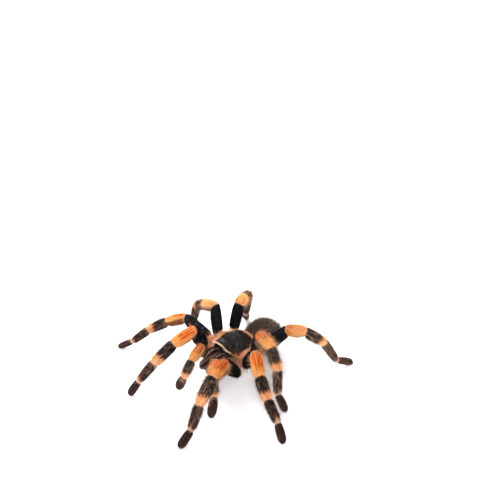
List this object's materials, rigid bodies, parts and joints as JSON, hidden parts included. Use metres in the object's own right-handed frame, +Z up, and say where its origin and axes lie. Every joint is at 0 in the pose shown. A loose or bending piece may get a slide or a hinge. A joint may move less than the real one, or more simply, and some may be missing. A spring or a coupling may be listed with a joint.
{
  "type": "tarantula",
  "caption": "Stocky hairy tarantula standing on bent legs, velvety black with orange-red knees and pale-banded shins, a round domed shield edged in peach and a rounded abdomen.",
  "frame": {"origin": "on the floor under the middle of the whole spider's box", "axes": "+Z up from the floor; the spider faces -Y and its left side is +X"},
  "size_m": [0.1018, 0.094, 0.0313],
  "materials": {
    "black_velvet": "short velvety black hair",
    "carapace_velvet": "black hard shield with a fine radial pile and a peach fringe",
    "orange_red_hair": "orange to flame-red short hair, peach at the edges",
    "banded_brown_hair": "dark brown hair with a peach band at the far end",
    "dark_brown_hair": "dark grey-brown hair with longer pale bristles",
    "fang_horn": "polished black horn",
    "eye_gloss": "glossy black, wet looking"
  },
  "bodies": {
    "root": {"carapace": "carapace_velvet", "sternum": "black_velvet", "pedicel": "black_velvet", "abdomen": "dark_brown_hair", "chelicera_left": "dark_brown_hair", "fang_left": "fang_horn", "spinneret_left": "dark_brown_hair", "eye_front_middle_left": "eye_gloss", "eye_front_side_left": "eye_gloss", "eye_back_middle_left": "eye_gloss", "eye_back_side_left": "eye_gloss", "palp_left_femur": "black_velvet", "palp_left_patella": "orange_red_hair", "palp_left_shin": "banded_brown_hair", "chelicera_right": "dark_brown_hair", "fang_right": "fang_horn", "spinneret_right": "dark_brown_hair", "eye_front_middle_right": "eye_gloss", "eye_front_side_right": "eye_gloss", "eye_back_middle_right": "eye_gloss", "eye_back_side_right": "eye_gloss", "palp_right_femur": "black_velvet", "palp_right_patella": "orange_red_hair", "palp_right_shin": "banded_brown_hair", "leg_1_left_femur": "black_velvet", "leg_1_left_patella": "orange_red_hair", "leg_1_left_tibia": "banded_brown_hair", "leg_1_left_foot": "banded_brown_hair", "leg_1_right_femur": "black_velvet", "leg_1_right_patella": "orange_red_hair", "leg_1_right_tibia": "banded_brown_hair", "leg_1_right_foot": "banded_brown_hair", "leg_2_left_femur": "black_velvet", "leg_2_left_patella": "orange_red_hair", "leg_2_left_tibia": "banded_brown_hair", "leg_2_left_foot": "banded_brown_hair", "leg_2_right_femur": "black_velvet", "leg_2_right_patella": "orange_red_hair", "leg_2_right_tibia": "banded_brown_hair", "leg_2_right_foot": "banded_brown_hair", "leg_3_left_femur": "black_velvet", "leg_3_left_patella": "orange_red_hair", "leg_3_left_tibia": "banded_brown_hair", "leg_3_left_foot": "banded_brown_hair", "leg_3_right_femur": "black_velvet", "leg_3_right_patella": "orange_red_hair", "leg_3_right_tibia": "banded_brown_hair", "leg_3_right_foot": "banded_brown_hair", "leg_4_left_femur": "black_velvet", "leg_4_left_patella": "orange_red_hair", "leg_4_left_tibia": "banded_brown_hair", "leg_4_left_foot": "banded_brown_hair", "leg_4_right_femur": "black_velvet", "leg_4_right_patella": "orange_red_hair", "leg_4_right_tibia": "banded_brown_hair", "leg_4_right_foot": "banded_brown_hair"}
  },
  "joints": []
}
